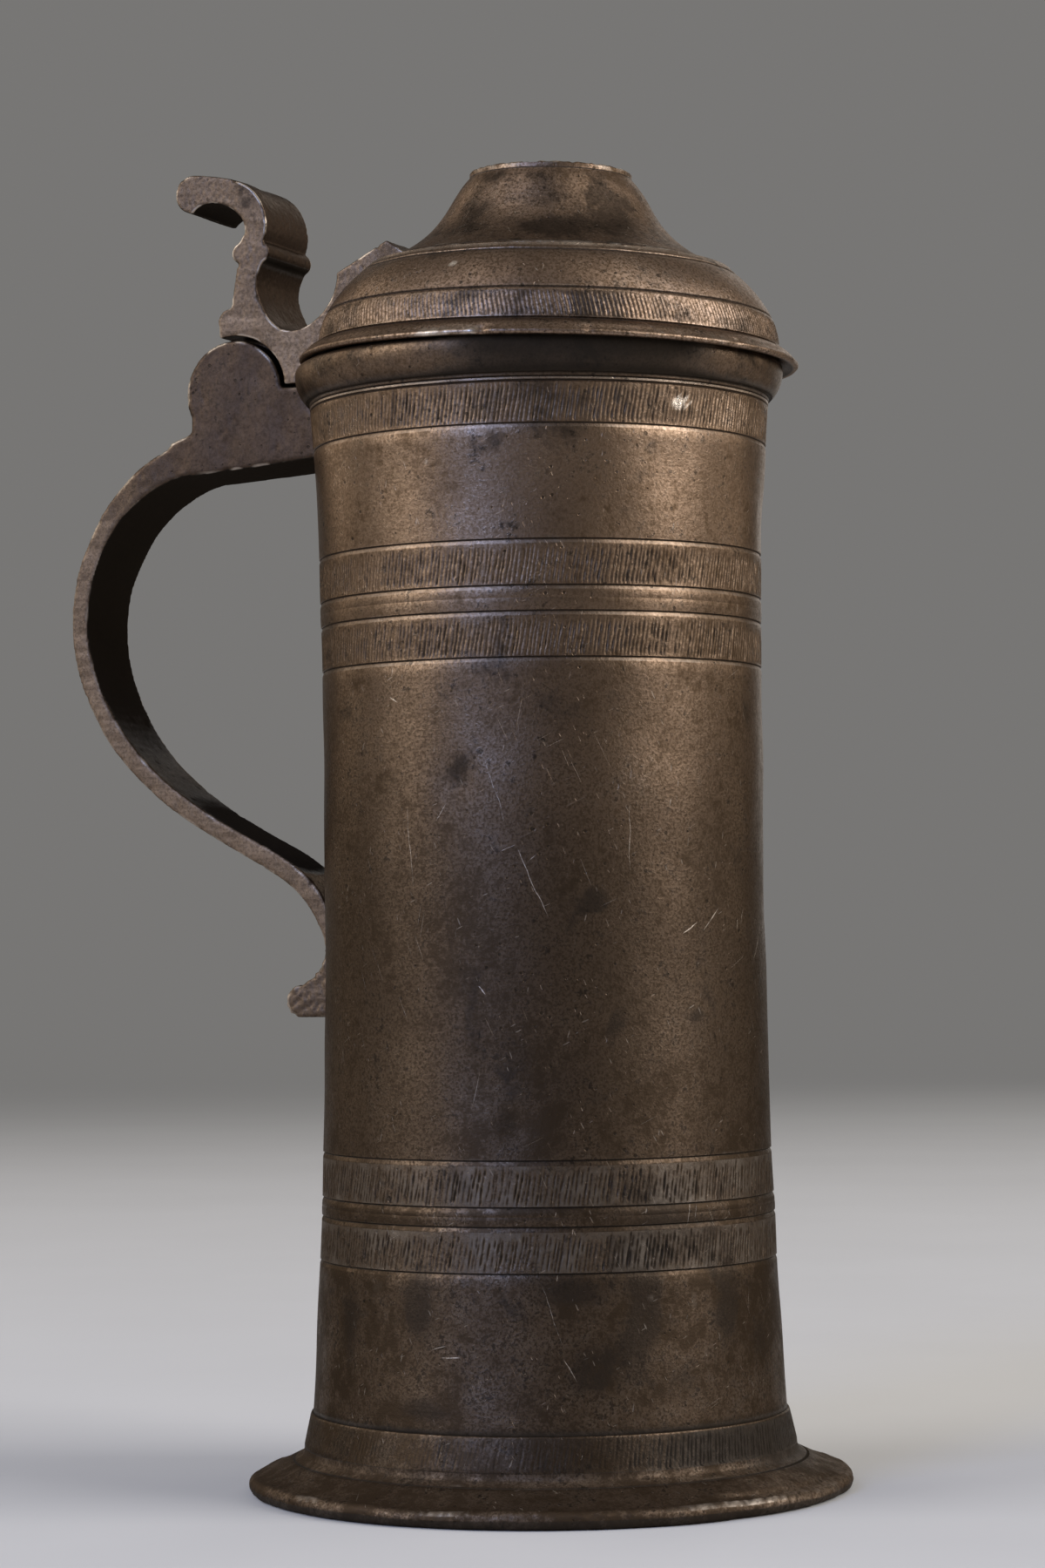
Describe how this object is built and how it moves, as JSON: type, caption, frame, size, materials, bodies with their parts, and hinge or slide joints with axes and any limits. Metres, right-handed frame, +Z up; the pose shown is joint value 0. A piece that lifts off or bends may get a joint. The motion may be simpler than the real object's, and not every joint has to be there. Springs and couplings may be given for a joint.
{
  "type": "pewter flagon",
  "caption": "Tall waisted pewter flagon on a flared foot, with an S-shaped strap handle and a hinged domed lid raised by a scrolled thumbpiece.",
  "frame": {"origin": "centre of the foot, on the barrel's axis, in the plane that the foot stands on", "axes": "+Z up along the barrel's axis, -X towards the handle, Y along the hinge pin"},
  "size_m": [0.1804, 0.1328, 0.2955],
  "materials": {
    "vessel_pewter": "turned pewter, worn smooth, with a brown-grey patina, pits and fine scratches",
    "lid_pewter": "turned pewter with a brown-grey patina and bright worn edges",
    "cast_pewter": "cast pewter, filed, dull grey and slightly granular",
    "iron_pin": "dark drawn iron"
  },
  "bodies": {
    "flagon": {"foot_ring": "vessel_pewter", "bottom_plate": "vessel_pewter", "barrel_lower": "vessel_pewter", "barrel_middle": "vessel_pewter", "barrel_upper": "vessel_pewter", "mouth_collar": "vessel_pewter", "hinge_block": "cast_pewter", "handle_strap": "cast_pewter", "handle_terminal": "cast_pewter", "hinge_pin": "iron_pin", "pin_plugs": "cast_pewter"},
    "lid": {"lid_dome": "lid_pewter", "lid_crown": "lid_pewter", "lid_top_disc": "lid_pewter", "lid_bracket": "cast_pewter", "thumbpiece": "cast_pewter"}
  },
  "joints": [
    {"name": "lid_hinge", "type": "hinge", "parent": "flagon", "child": "lid", "pos_m": [-0.0708, 0, 0.245], "axis": [0, -1, 0], "range_deg": [0, 100]}
  ]
}
